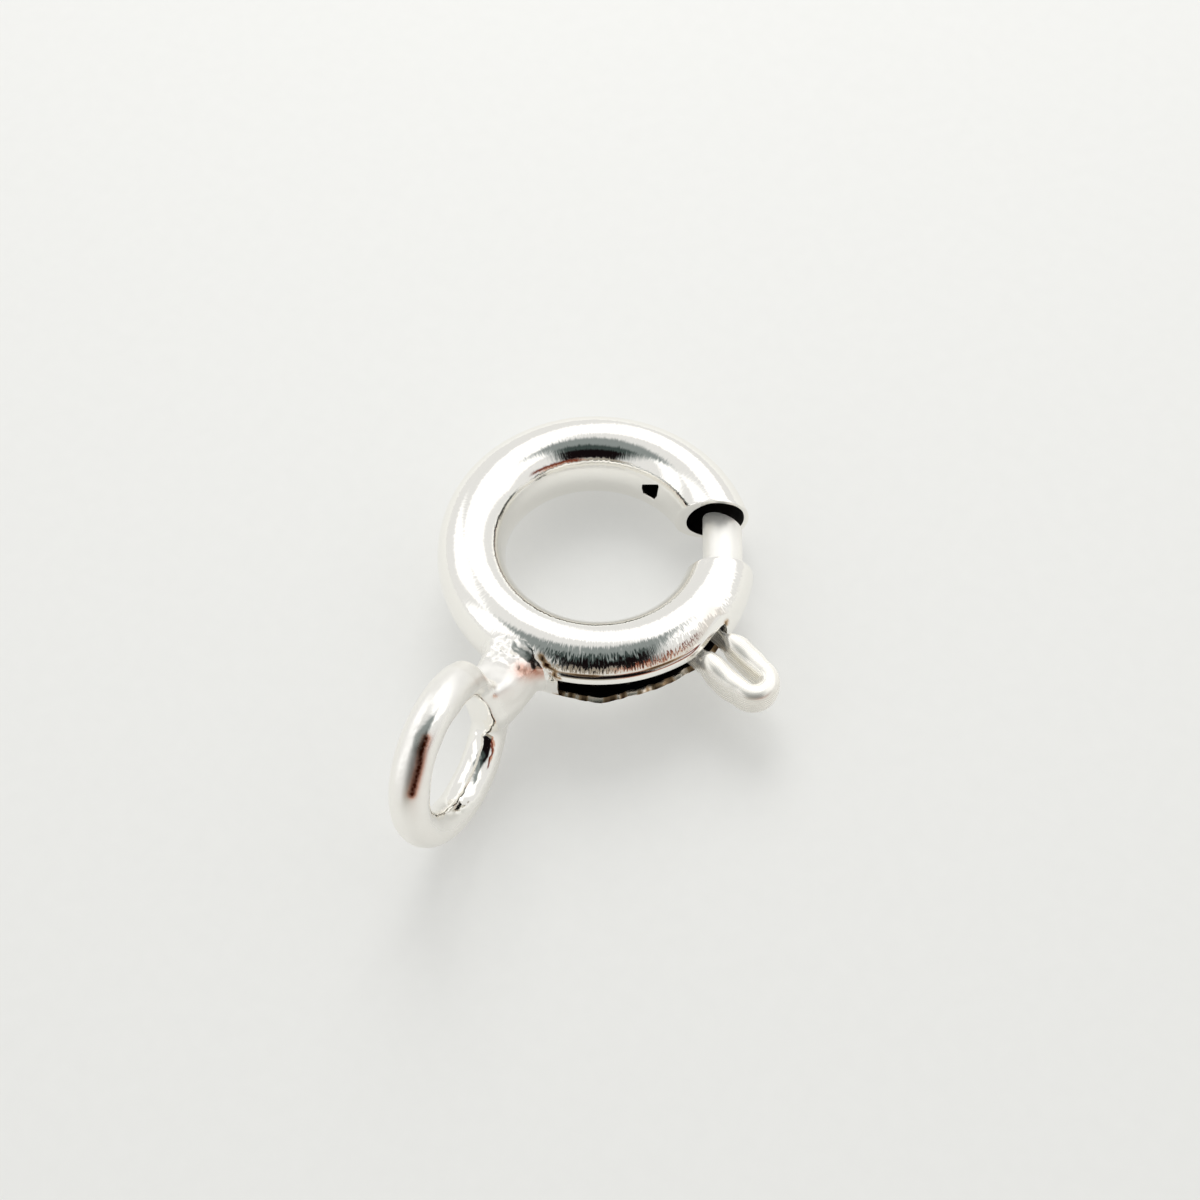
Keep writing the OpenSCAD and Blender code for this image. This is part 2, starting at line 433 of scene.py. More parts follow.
def bore_silver():
    """Silver inside the tube, left as drawn, with its colour painted near black: painted shade that keeps
    the inside of the tube dark.
    """
    material, tree = new_material("silver_bore_painted_shade")
    grain_size = 0.08
    place = add_node(tree, "ShaderNodeTexCoord")
    at = add_node(tree, "ShaderNodeMapping", {
        "Vector": place.outputs["Object"], "Scale": [mm_per_metre / grain_size] * 3})
    grain = add_node(tree, "ShaderNodeTexNoise", {"Vector": at, "Scale": 1.0, "Detail": 3.0})
    # Painted shade: a near-black colour for the inside of the tube
    colour = add_node(tree, "ShaderNodeMix", {
        0: grain, 6: linear("#0B0A0B"), 7: linear("#241C18")}, data_type="RGBA")
    shader = add_node(tree, "ShaderNodeBsdfPrincipled", {
        "Metallic": 0.4, "Base Color": colour.outputs[2], "Roughness": 0.55})
    add_node(tree, "ShaderNodeOutputMaterial", {"Surface": shader})
    return material


def soldered_silver():
    """Sterling silver, bent, soldered and tumbled: softer than the tube's, a mirror only where a hammer has
    struck it, with flow marks. Its colour turns pink where a mark is thin and brown where it is thick: brown
    in the pits at the solder, and painted reflections, pink on the solder and a brown streak on the end
    ring."""
    material, tree = new_material("sterling_silver_soldered")
    dimple_size = 0.35
    dimple_depth = 5
    pit_size = 0.05
    pit_depth = 0.8
    struck_roughness = 0.08
    place = add_node(tree, "ShaderNodeTexCoord")
    dimples_at = add_node(tree, "ShaderNodeMapping", {
        "Vector": place.outputs["Object"], "Scale": [mm_per_metre / dimple_size] * 3})
    dimples = add_node(tree, "ShaderNodeTexNoise", {"Vector": dimples_at, "Scale": 1.0, "Detail": 3.0})
    pits_at = add_node(tree, "ShaderNodeMapping", {
        "Vector": place.outputs["Object"], "Scale": [mm_per_metre / pit_size] * 3})
    pits = add_node(tree, "ShaderNodeTexNoise", {"Vector": pits_at, "Scale": 1.0, "Detail": 2.0})
    dimple_bump = add_node(tree, "ShaderNodeBump", {
        "Strength": 1.0, "Distance": dimple_depth * micron, "Height": dimples})
    pit_bump = add_node(tree, "ShaderNodeBump", {
        "Strength": 1.0, "Distance": pit_depth * micron, "Height": pits, "Normal": dimple_bump})
    tarnish = add_node(tree, "ShaderNodeAttribute", attribute_name="tarnish")
    spots = add_node(tree, "ShaderNodeMapRange", {
        "Value": pits, "From Min": 0.4, "From Max": 0.6, "To Min": 0.85, "To Max": 1.0})
    # Share of the pits and of the painted pink and brown reflections
    bloom = add_node(tree, "ShaderNodeMath", {0: tarnish.outputs["Fac"], 1: spots}, operation="MULTIPLY")
    thin = add_node(tree, "ShaderNodeMapRange", {"Value": bloom, "From Min": 0.0, "From Max": 0.45})
    thick = add_node(tree, "ShaderNodeMapRange", {"Value": bloom, "From Min": 0.4, "From Max": 0.9})
    pink = add_node(tree, "ShaderNodeMix", {
        0: thin, 6: linear("#FBF9F4"), 7: linear("#D9AE9C")}, data_type="RGBA")
    colour = add_node(tree, "ShaderNodeMix", {
        0: thick, 6: pink.outputs[2], 7: linear("#4A1E0C")}, data_type="RGBA")
    polish = add_node(tree, "ShaderNodeAttribute", attribute_name="polish")
    tumbled = add_node(tree, "ShaderNodeMapRange", {
        "Value": dimples, "From Min": 0.3, "From Max": 0.7, "To Min": 0.3, "To Max": 0.46})
    roughness = add_node(tree, "ShaderNodeMix", {
        0: polish.outputs["Fac"], 2: tumbled, 3: struck_roughness}, data_type="FLOAT")
    shader = add_node(tree, "ShaderNodeBsdfPrincipled", {
        "Metallic": 1.0, "Base Color": colour.outputs[2], "Roughness": roughness, "Normal": pit_bump})
    add_node(tree, "ShaderNodeOutputMaterial", {"Surface": shader})
    return material


def drawn_silver():
    """Sterling silver wire, drawn and pressed: satin lines along its length, a little cream in its white."""
    material, tree = new_material("sterling_silver_drawn")
    line_spacing = 0.035
    line_length = 1.2
    line_depth = 1.0
    uv = add_node(tree, "ShaderNodeUVMap", uv_map="UVMap")
    lines_at = add_node(tree, "ShaderNodeMapping", {
        "Vector": uv, "Scale": (1 / line_length, 1 / line_spacing, 1)})
    lines = add_node(tree, "ShaderNodeTexNoise", {
        "Vector": lines_at, "Scale": 1.0, "Detail": 3.0, "Roughness": 0.6})
    line_bump = add_node(tree, "ShaderNodeBump", {
        "Strength": 1.0, "Distance": line_depth * micron, "Height": lines})
    roughness = add_node(tree, "ShaderNodeMapRange", {
        "Value": lines, "From Min": 0.3, "From Max": 0.7, "To Min": 0.2, "To Max": 0.32})
    shader = add_node(tree, "ShaderNodeBsdfPrincipled", {
        "Metallic": 0.55, "Base Color": linear("#FBF8F0"), "Roughness": roughness, "Normal": line_bump})
    add_node(tree, "ShaderNodeOutputMaterial", {"Surface": shader})
    return material


def satin_silver():
    """Sterling silver wire, annealed and pickled: a white satin bloom that stays bright beside the dark
    bore."""
    material, tree = new_material("sterling_silver_pickled")
    grain_size = 0.06
    place = add_node(tree, "ShaderNodeTexCoord")
    at = add_node(tree, "ShaderNodeMapping", {
        "Vector": place.outputs["Object"], "Scale": [mm_per_metre / grain_size] * 3})
    grain = add_node(tree, "ShaderNodeTexNoise", {"Vector": at, "Scale": 1.0, "Detail": 2.0})
    roughness = add_node(tree, "ShaderNodeMapRange", {
        "Value": grain, "From Min": 0.3, "From Max": 0.7, "To Min": 0.28, "To Max": 0.38})
    shader = add_node(tree, "ShaderNodeBsdfPrincipled", {
        "Metallic": 0.45, "Base Color": linear("#FBF9F3"), "Roughness": roughness})
    add_node(tree, "ShaderNodeOutputMaterial", {"Surface": shader})
    return material


def spring_steel():
    """Music wire, drawn and oiled: dark, with a hard glint along each turn."""
    material, tree = new_material("spring_steel_drawn")
    film_size = 0.15
    place = add_node(tree, "ShaderNodeTexCoord")
    at = add_node(tree, "ShaderNodeMapping", {
        "Vector": place.outputs["Object"], "Scale": [mm_per_metre / film_size] * 3})
    film = add_node(tree, "ShaderNodeTexNoise", {"Vector": at, "Scale": 1.0, "Detail": 2.0})
    colour = add_node(tree, "ShaderNodeMix", {
        0: film, 6: linear("#1C1A1A"), 7: linear("#4A423A")}, data_type="RGBA")
    shader = add_node(tree, "ShaderNodeBsdfPrincipled", {
        "Metallic": 1.0, "Base Color": colour.outputs[2], "Roughness": 0.3})
    add_node(tree, "ShaderNodeOutputMaterial", {"Surface": shader})
    return material


def white_table():
    """Matt white acrylic sheet with a faint grain. Light that comes up through it keeps shadows on it
    pale."""
    material, tree = new_material("acrylic_sheet_matt_white")
    grain_size = 0.35
    place = add_node(tree, "ShaderNodeTexCoord")
    at = add_node(tree, "ShaderNodeMapping", {
        "Vector": place.outputs["Object"], "Scale": [mm_per_metre / grain_size] * 3})
    grain = add_node(tree, "ShaderNodeTexNoise", {"Vector": at, "Scale": 1.0, "Detail": 3.0})
    colour = add_node(tree, "ShaderNodeMix", {
        0: grain, 6: linear("#A6A6A4"), 7: linear("#ABABA9")}, data_type="RGBA")
    shader = add_node(tree, "ShaderNodeBsdfPrincipled", {
        "Base Color": colour.outputs[2], "Roughness": 0.6, "IOR": 1.45, "Emission Color": linear("#FFFFFB"),
        "Emission Strength": 0.4})
    add_node(tree, "ShaderNodeOutputMaterial", {"Surface": shader})
    return material


buffed = polished_silver()
blackened = bore_silver()
soldered = soldered_silver()
drawn = drawn_silver()
satin = satin_silver()
music_wire = spring_steel()


# The tube's oval section: four arcs, tangent where they meet
oval_rise = tube_h / 2 - tube_top_r
oval_side_r = (tube_w ** 2 / 4 + oval_rise ** 2 - tube_top_r ** 2) / (tube_w - 2 * tube_top_r)
oval_side_x = oval_side_r - tube_w / 2
oval_join = atan2(oval_rise, oval_side_x)


def oval_point(angle):
    """The point of the section, across and up from its middle, whose normal has this angle."""
    if abs(sin(angle)) > sin(oval_join):
        x, z, r = 0, copysign(oval_rise, sin(angle)), tube_top_r
    else:
        x, z, r = -copysign(oval_side_x, cos(angle)), 0, oval_side_r
    return x + r * cos(angle), z + r * sin(angle)


def oval_angle(height):
    """The normal's angle on the section's outer side at a height."""
    if abs(height) < oval_side_r * sin(oval_join):
        return asin(height / oval_side_r)
    return copysign(asin((abs(height) - oval_rise) / tube_top_r), height)


def tube_half_width(height):
    """Half the tube's outer width at a height."""
    return oval_point(oval_angle(height))[0]


def section_angles():
    """Normal angles round the section, with a step at each edge of the slot and close steps beside it."""
    low = oval_angle(slot_low)
    high = oval_angle(slot_high)
    beside = radians(beside_stretch)
    stretches = [
        (low, high, slot_rows),
        (high, high + beside, flange_rows),
        (high + beside, low - beside + tau, round_rows),
        (low - beside + tau, low + tau, burr_rows),
    ]
    return [start + (end - start) * i / steps for start, end, steps in stretches for i in range(steps)]


def each_once(items):
    """The items in their order, each one once."""
    return list(dict.fromkeys(items))


def spin_on(bm, geom, turn, steps):
    """Spins a section round the main ring by a turn in degrees, and returns the last section."""
    return bmesh.ops.spin(bm, geom=geom, axis=(0, 0, 1), angle=radians(turn), steps=steps)["geom_last"]


def spin_round(bm, geom, axis, steps):
    """Spins a profile all the way round an axis."""
    bmesh.ops.spin(bm, geom=geom, axis=axis, angle=tau, steps=steps, use_merge=True)


def edges_of(geom):
    return [item for item in geom if isinstance(item, bmesh.types.BMEdge)]


def extruded(bm, edges):
    """Extrudes a ring of edges in place, and returns the new one's vertices and edges."""
    grown = bmesh.ops.extrude_edge_only(bm, edges=edges)["geom"]
    return [item for item in grown if isinstance(item, bmesh.types.BMVert)], edges_of(grown)


def close_ends(bm):
    """Closes each open end with one face, and returns the edges round them."""
    ends = [edge for edge in bm.edges if edge.is_boundary]
    bmesh.ops.holes_fill(bm, edges=ends, sides=0)
    return ends


def round_edges(bm, edges, width, segments):
    """Rounds sharp edges off."""
    bmesh.ops.bevel(
        bm, geom=edges, offset=width, segments=segments, profile=0.5, affect="EDGES", clamp_overlap=True,
        material=-1)


def section_ring(bm, count):
    """A ring of vertices to be placed one by one, and the ring with its edges."""
    verts = bmesh.ops.create_circle(bm, segments=count, radius=1)["verts"]
    return verts, verts + each_once(edge for vert in verts for edge in vert.link_edges)


def far_mouth(z):
    """How far from the gap's middle line the far mouth lies at a height. It leans back towards its foot."""
    return gap_shift + gap_w / 2 - mouth_ahead + mouth_lean * (tube_h / 2 - z)


def mouth_slide(turn, r, z):
    """How far a point slides round the ring, so that the mouths are cut straight across the gap."""
    first = asin(far_mouth(z) / r) - radians(first_turn)
    last = radians(360 - last_turn) - asin((gap_w / 2 - gap_shift) / r)
    at_first = 1 - smooth((turn - first_turn) / far_mouth_run_out)
    at_last = 1 - smooth((last_turn - turn) / near_mouth_run_out)
    return first * at_first + last * at_last


def tube_skin(bm):
    """The tube's outer skin, from the gap's far mouth round to its near one."""
    angles = section_angles()
    verts, section = section_ring(bm, len(angles))
    for vert, angle in zip(verts, angles):
        x, z = oval_point(angle)
        vert.co = (mid_r + x, 0, z)
    bmesh.ops.rotate(bm, verts=verts, matrix=turned(gap_angle + first_turn))
    section = spin_on(bm, section, open_turn - first_turn, sections_before_slot)
    section = spin_on(bm, section, closed_turn - open_turn, sections_along_slot)
    spin_on(bm, section, last_turn - closed_turn, sections_past_slot)
    for vert in bm.verts:
        slide = mouth_slide(ring_turn(vert.co), vert.co.xy.length, vert.co.z)
        vert.co = Matrix.Rotation(slide, 3, "Z") @ vert.co


def ragged(turn, size):
    """Noise from -1 to 1 round the ring, with waves of a given size in millimetres."""
    return noise.noise(Vector((radians(turn) * ring_r / size, *rag_line)))


def uneven(turn, waves):
    """A share that varies raggedly round the ring."""
    size, mean, swing = waves
    return mean + swing * ragged(turn, size)


def beside_slot(turn):
    """1 along the slot, easing to 0 past its ends."""
    return (smooth((turn - open_turn + lip_run_out) / lip_run_out)
            * smooth((closed_turn + lip_run_out - turn) / lip_run_out))


def beside_flange(turn):
    """1 along the slot's flange, easing to 0 past its start and before the closed trigger."""
    return beside_slot(turn) * smooth((closed_turn - flange_short - turn) / flange_run_out)


def lip_push(turn, z):
    """How far the slot's edges stand out of the tube: the upper one as a narrow flange under a crease, the
    lower one as a ragged burr that bulges where a chip is out of it."""
    if z > (slot_low + slot_high) / 2:
        fall = smooth((z - slot_high - flange_w + flange_fall_early) / flange_fall)
        return beside_flange(turn) * flange_out * (1 - fall)
    burr = exp(-((z - slot_low) / lip_reach) ** 2)
    bulge = exp(-((turn - chip_turn) / bulge_run) ** 2)
    rag = rag_out * ragged(turn, rag_size) + fine_rag_out * ragged(turn, fine_rag_size)
    return beside_slot(turn) * burr * (bulge_out * bulge - burr_in + rag)


def slot_rise(turn, z):
    """How far the slot's edges stand higher than they were cut: the upper one where the trigger comes out
    closed, and the lower one as a ragged burr."""
    middle = (slot_low + slot_high) / 2
    if z < middle:
        burr = exp(-((z - slot_low) / burr_rise_reach) ** 2)
        torn = smooth((turn - chip_turn - rise_past_chip) / rise_run_in)
        torn *= uneven(turn + rise_rag_turn, rise_waves)
        return beside_slot(turn) * burr * (burr_rise + torn_rise * torn)
    at_end = smooth((turn - closed_turn + lift_early) / lift_run_in)
    at_end *= smooth((closed_turn + lift_past - turn) / lift_run_out)
    if z < slot_high:
        return lift_h * at_end * (z - middle) / (slot_high - middle)
    return lift_h * at_end * (1 - smooth((z - slot_high) / lift_fade))


def turn_out_lips(bm):
    """Shapes the slot's edges."""
    for vert in bm.verts:
        turn = ring_turn(vert.co)
        r = vert.co.xy.length
        if r < mid_r:
            continue
        z = vert.co.z
        risen = z + slot_rise(turn, z)
        grown = lip_push(turn, z) + tube_half_width(risen) - tube_half_width(z)
        vert.co = (*(vert.co.xy * (1 + grown / r)), risen)


def fold_burr_in(bm):
    """Thickens the slot's lower edge inwards, so that the burr has a broad torn face."""
    for vert in bm.verts:
        turn = ring_turn(vert.co)
        r = vert.co.xy.length
        z = vert.co.z
        outer_r = mid_r + tube_half_width(z) + lip_push(turn, z)
        if r < mid_r or r > outer_r - tube_wall / 2:
            continue
        torn = torn_fold * smooth((turn - chip_turn - fold_past_chip) / fold_run_in)
        torn *= uneven(turn, fold_waves)
        fold = beside_slot(turn) * exp(-((z - slot_low) / fold_reach) ** 2) * (burr_fold + torn)
        vert.co.xy = vert.co.xy * (1 - fold / r)


def cut_slot(bm):
    """Takes the slot out of the skin."""
    cut = []
    for face in bm.faces:
        middle = face.calc_center_median()
        if (open_turn < ring_turn(middle) < closed_turn and hypot(middle.x, middle.y) > mid_r
                and slot_low < middle.z < slot_high):
            cut.append(face)
    bmesh.ops.delete(bm, geom=cut, context="FACES")


def stop_sides():
    """The stop hole's sides: for each, a point and its outward normal."""
    out = turned(stop_angle) @ Vector((1, 0, 0))
    tangent = turned(stop_angle) @ Vector((0, 1, 0))
    corners = [stop_w * (across * tangent + Vector((0, 0, up))) for across, up in stop_corners]
    sides = []
    for start, end in zip(corners, corners[1:] + corners[:1]):
        sides.append((start, (end - start).cross(out).normalized()))
    middle = sum(corners, Vector()) / len(corners)
    return [(co, no if (middle - co).dot(no) < 0 else -no) for co, no in sides]


def cut_stop_hole(bm):
    """Cuts the pick-shaped hole through the inner wall."""
    stop_turn = stop_angle - gap_angle
    sides = stop_sides()

    def near_hole():
        faces = []
        for face in bm.faces:
            middle = face.calc_center_median()
            r = hypot(middle.x, middle.y)
            if (abs(ring_turn(middle) - stop_turn) < stop_near_turn and r < mid_r - stop_near_in
                    and abs(middle.z) < stop_near_h):
                faces.append(face)
        return faces

    for co, no in sides:
        faces = near_hole()
        edges = each_once(edge for face in faces for edge in face.edges)
        verts = each_once(vert for face in faces for vert in face.verts)
        bmesh.ops.bisect_plane(bm, geom=faces + edges + verts, dist=cut_slack, plane_co=co, plane_no=no)
    inside = [
        face for face in near_hole()
        if all((face.calc_center_median() - co).dot(no) < 0 for co, no in sides)]
    bmesh.ops.delete(bm, geom=inside, context="FACES")


def crimp_mouth(bm, level):
    """Pinches the bore in at the far mouth's inner side, which leaves a thick lip there."""
    for vert in bm.verts:
        co = level @ vert.co
        if abs(co.xy.length - mid_r) > tube_half_width(co.z) - tube_wall / 2:
            continue
        inside = co.y - far_mouth(co.z)
        if co.x > 0 and -crimp_slack < inside < crimp_deep:
            at_mouth = 1 - smooth(inside / crimp_deep)
            co.x += mouth_crimp * at_mouth * smooth((mid_r - crimp_from - co.x) / crimp_run_in)
            vert.co = co @ level


def thicken_wall(bm):
    """Gives the skin its wall, with the bore's faces as material 1, straight mouths and rounded rims."""
    # How far outwards, from -1 to 1, a face of the bore and one of a rim look at most
    bore_outward = -0.5
    rim_outward = 0.5
    bmesh.ops.recalc_face_normals(bm, faces=bm.faces)
    bmesh.ops.solidify(bm, geom=bm.faces, thickness=tube_wall)
    bmesh.ops.recalc_face_normals(bm, faces=bm.faces)
    rim_verts = set()
    for face in bm.faces:
        middle = face.calc_center_median()
        tube_middle = Vector((middle.x, middle.y, 0)).normalized() * mid_r
        outward = face.normal.dot((middle - tube_middle).normalized())
        if outward < bore_outward:
            face.material_index = 1
        elif outward < rim_outward:
            rim_verts.update(face.verts)
    level = Matrix.Rotation(-radians(gap_angle), 3, "Z")
    for vert in rim_verts:
        co = level @ vert.co
        for mouth in (far_mouth(co.z), gap_shift - gap_w / 2):
            if co.x > 0 and abs(co.y - mouth) < 2 * tube_wall:
                co.y = mouth
                vert.co = co @ level
    fold_burr_in(bm)
    crimp_mouth(bm, level)
    rims = [
        edge for edge in bm.edges
        if len(edge.link_faces) == 2 and edge.calc_face_angle() > radians(sharp_edge)]
    round_edges(bm, rims, rim_bevel, segments=2)


def lay_uv(bm, place, spans):
    """Gives each face corner its place along and round the piece, in millimetres.
    A face that crosses a seam keeps to one side of it."""
    layer = bm.loops.layers.uv.new("UVMap")
    for face in bm.faces:
        middle = place(face.calc_center_median())
        for loop in face.loops:
            at = place(loop.vert.co)
            for i, span in enumerate(spans):
                if span:
                    at[i] -= span * round((at[i] - middle[i]) / span)
            loop[layer].uv = at


def tube_combing(co):
    """How strongly the buffing lines comb the tube at a place: most on its flank by the slot."""
    elsewhere = 0.2
    run_out = 25
    flank_from = 0.15
    flank_run_in = 0.25
    flange_run_in = 0.06
    turn = ring_turn(co)
    by_slot = smooth((turn - open_turn + run_out) / run_out)
    by_slot *= smooth((closed_turn + run_out - turn) / run_out)
    on_flank = smooth((co.xy.length - mid_r - flank_from) / flank_run_in)
    above = co.z - slot_high - slot_rise(turn, slot_high)
    on_flange = beside_slot(turn) * on_flank * (1 - smooth((above - flange_w) / flange_run_in))
    return (elsewhere + (1 - elsewhere) * by_slot * on_flank) * (1 - on_flange)


def tube_tarnish(co):
    """How dark and brown the tube is at a place: painted shade, with tarnish, in the crease over the slot;
    tarnish in a film above that and on the burr; the pits beside the solder; and a dark spot at the slot's
    closed end."""
    crease_dark = 0.95
    crease_w = 0.02
    film_dark = 0.12
    film_run_in = 0.05
    film_top = 0.28
    film_run_out = 0.14
    burr_up = 0.03
    burr_w = 0.07
    burr_least = 0.3
    if co.xy.length < mid_r:
        return 0
    turn = ring_turn(co)
    above = co.z - slot_high - slot_rise(turn, slot_high)
    # Painted shade: a dark brown line along the crease over the slot, with tarnish in it
    crease = crease_dark * exp(-((above - flange_w) / crease_w) ** 2)
    crease *= smooth(uneven(turn, crease_waves))
    crease *= beside_flange(turn)
    film = film_dark * smooth((above - flange_w) / film_run_in)
    film *= 1 - smooth((above - film_top) / film_run_out)
    burr = exp(-((co.z - slot_low - burr_up) / burr_w) ** 2)
    burr *= burr_least + (1 - burr_least) * smooth(uneven(turn, burr_waves))
    spot = exp(-((co - slot_end_spot).length / spot_w) ** 2)
    return max(beside_slot(turn) * max(crease, film, burr), pitted(co), spot)


def ring_tube():
    bm = bmesh.new()
    tube_skin(bm)
    cut_slot(bm)
    cut_stop_hole(bm)
    turn_out_lips(bm)
    thicken_wall(bm)
    tarnish = bm.verts.layers.float.new("tarnish")
    combing = bm.verts.layers.float.new("combing")
    for vert in bm.verts:
        vert[tarnish] = tube_tarnish(vert.co)
        vert[combing] = tube_combing(vert.co)
    section_r = (tube_w + tube_h) / 4

    def place(co):
        round_section = (atan2(co.z, hypot(co.x, co.y) - mid_r) + pi / 2) % tau
        return [radians(ring_turn(co)) * mid_r, round_section * section_r]

    lay_uv(bm, place, (0, tau * section_r))
    piece = make_piece(bm, "ring_tube", [buffed, blackened])
    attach(piece, "ring")
    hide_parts("ring_body")


def neck_mesh(bm):
    """The solder between tube and end ring: its foot follows the tube's surface with a fillet, and its head
    spreads up and down the end ring's wire."""
    profile_steps = 40
    round_steps = 72
    reach = eye_reach - eye_mid_r - ring_r + neck_head_deep
    profile = []
    for i in range(profile_steps + 1):
        height = -neck_foot_deep + (reach + neck_foot_deep) * sin(pi / 2 * i / profile_steps)
        if height < neck_fillet:
            lift = min(1 - height / neck_fillet, 1)
            r = neck_r + neck_fillet * (1 - sqrt(1 - lift ** 2))
        else:
            dome = 1 - ((height - neck_fillet) / (reach - neck_fillet)) ** 2
            r = neck_r * sqrt(max(0, dome) * neck_dome + (1 - neck_dome))
        profile.append(bm.verts.new((r, -height, 0)))
    line = [bm.edges.new(pair) for pair in zip(profile, profile[1:])]
    spin_round(bm, profile + line, (0, 1, 0), round_steps)
    for vert in bm.verts:
        height = -vert.co.y
        z = max(-neck_seat_h, min(neck_seat_h, vert.co.z))
        surface = sqrt((mid_r + tube_half_width(z)) ** 2 - vert.co.x ** 2)
        spread = smooth(height / reach)
        vert.co.y = -((1 - spread) * surface + spread * ring_r + height)
        if vert.co.z > 0:
            vert.co.z *= 1 + neck_spread_up * spread
            vert.co.x *= 1 - neck_spread_in * spread
        else:
            vert.co.z *= 1 + neck_spread_down * spread
    close_ends(bm)


def end_ring():
    wire_sides = 64
    ring_steps = 200
    fusing_voxel = 0.024
    bm = bmesh.new()
    neck_mesh(bm)
    verts, section = section_ring(bm, wire_sides)
    for i, vert in enumerate(verts):
        angle = tau * i / wire_sides
        vert.co = (eye_wire_r * sin(angle), 0, eye_mid_r + eye_wire_r * cos(angle))
    before = len(bm.verts) - len(verts)
    spin_round(bm, section, (1, 0, 0), ring_steps)
    bm.verts.ensure_lookup_table()
    tilt = Matrix.Rotation(radians(eye_turn), 3, "Z") @ Matrix.Rotation(radians(eye_lean), 3, "Y")
    for vert in bm.verts[before:]:
        vert.co = tilt @ vert.co + Vector((0, -eye_reach, 0))
    bmesh.ops.recalc_face_normals(bm, faces=bm.faces)
    fused = fuse(bm, fusing_voxel)
    flow_solder(fused)
    hammer(fused, tilt)
    stain(fused)
    piece = make_piece(fused, "end_ring", [soldered])
    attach(piece, "ring")
    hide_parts("ring_body")


def fuse(bm, voxel):
    """Fuses crossing closed shapes into one skin."""
    shape = mesh_object(bm, "fusing")
    mesh = shape.data
    remesh = shape.modifiers.new("fuse", "REMESH")
    remesh.mode = "VOXEL"
    remesh.voxel_size = voxel
    shown = shape.evaluated_get(bpy.context.evaluated_depsgraph_get())
    fused = bmesh.new()
    fused.from_mesh(shown.to_mesh())
    bpy.data.objects.remove(shape)
    bpy.data.meshes.remove(mesh)
    return fused


def flow_solder(bm):
    """Sets the solder's top in one flat face, smooths away the steps of fusing and fills the corners."""
    # Where the solder's corners and its top lie along Y, in millimetres
    corners = (-4.15, -3.12)
    top = (-3.75, -2.95)
    top_half_w = 0.8
    top_h = 0.5
    top_slope = 0.22
    passes = 90
    passes_everywhere = 5
    everywhere = list(bm.verts)
    at_solder = [vert for vert in bm.verts if corners[0] < vert.co.y < corners[1]]
    for vert in bm.verts:
        if top[0] < vert.co.y < top[1] and abs(vert.co.x) < top_half_w:
            vert.co.z = min(vert.co.z, top_h + top_slope * vert.co.x)
    for i in range(passes):
        verts = everywhere if i < passes_everywhere else at_solder
        bmesh.ops.smooth_vert(
            bm, verts=verts, factor=0.5, use_axis_x=True, use_axis_y=True, use_axis_z=True)
    bm.normal_update()


def hammer(bm, tilt):
    """Strikes facets into the end ring's hole and outer side, and leaves the solder lumpy, with small bumps
    on its ridge by the tube. What is struck is polished, and the ridge in part."""
    # Height and number per millimetre of facets, bumps, lumps, flow marks and the wire's own waves
    facet_h = 0.028
    facet_mean = 0.2
    facets_per_mm = 2.3
    bump_h = 0.016
    bumps_per_mm = 8
    lump_h = 0.015
    lump_mean = 0.25
    lumps_per_mm = 2.1
    lump_shift = Vector((0.3, 0.1, 0.7))
    flow_h = 0.01
    flows_per_mm = 5
    wave_h = 0.006
    waves_per_mm = 1.8
    # Where the hole's side begins, as a share of the wire's radius
    hole_side = -0.1
    hole_side_run_in = 0.7
    # Where along Y the struck part, the solder and its ridge begin, and the height of the ridge's foot
    struck_from = -3.75
    struck_run_in = 0.2
    solder_from = -3.95
    solder_run_in = 0.3
    ridge_from = -3.35
    ridge_run_in = 0.15
    ridge_foot = 0.3
    ridge_rise = 0.1
    outer_strike = 0.8
    ridge_polish = 0.6
    polish = bm.verts.layers.float.new("polish")
    back = tilt.transposed()
    moves = []
    for vert in bm.verts:
        local = back @ (vert.co - Vector((0, -eye_reach, 0)))
        inward = (eye_mid_r - hypot(local.y, local.z)) / eye_wire_r
        struck = smooth((inward - hole_side) / hole_side_run_in)
        struck *= smooth((struck_from - vert.co.y) / struck_run_in)
        struck = max(struck, outer_strike * near_line(vert.co, facet_line, facet_w))
        facet = noise.voronoi(vert.co * facets_per_mm)[0][0]
        rise = facet_h * struck * (facet ** 2 - facet_mean)
        ridge = smooth((vert.co.y - ridge_from) / ridge_run_in)
        ridge *= smooth((vert.co.z - ridge_foot) / ridge_rise)
        rise += bump_h * ridge * noise.noise(vert.co * bumps_per_mm)
        on_solder = smooth((vert.co.y - solder_from) / solder_run_in)
        lump = noise.voronoi(vert.co * lumps_per_mm + lump_shift)[0][0]
        flow = noise.noise(vert.co * flows_per_mm)
        rise += lump_h * on_solder * (lump ** 2 - lump_mean) + flow_h * on_solder * flow
        rise += wave_h * noise.noise(vert.co * waves_per_mm)
        moves.append((vert, vert.normal * rise))
        vert[polish] = max(struck, ridge_polish * ridge)
    for vert, move in moves:
        vert.co += move


def stain(bm):
    """Marks the pits at the solder, and paints two reflections: a pink one beside the pits and a brown
    streak on the end ring.
    """
    bloom_dark = 0.5
    tarnish = bm.verts.layers.float.new("tarnish")
    for vert in bm.verts:
        # Painted reflections: a pink patch on the solder and a brown streak down the end ring's outer side
        bloom = bloom_dark * near_line(vert.co, bloom_line, bloom_w)
        streak = near_line(vert.co, streak_line, streak_w)
        vert[tarnish] = max(bloom, streak, pitted(vert.co))


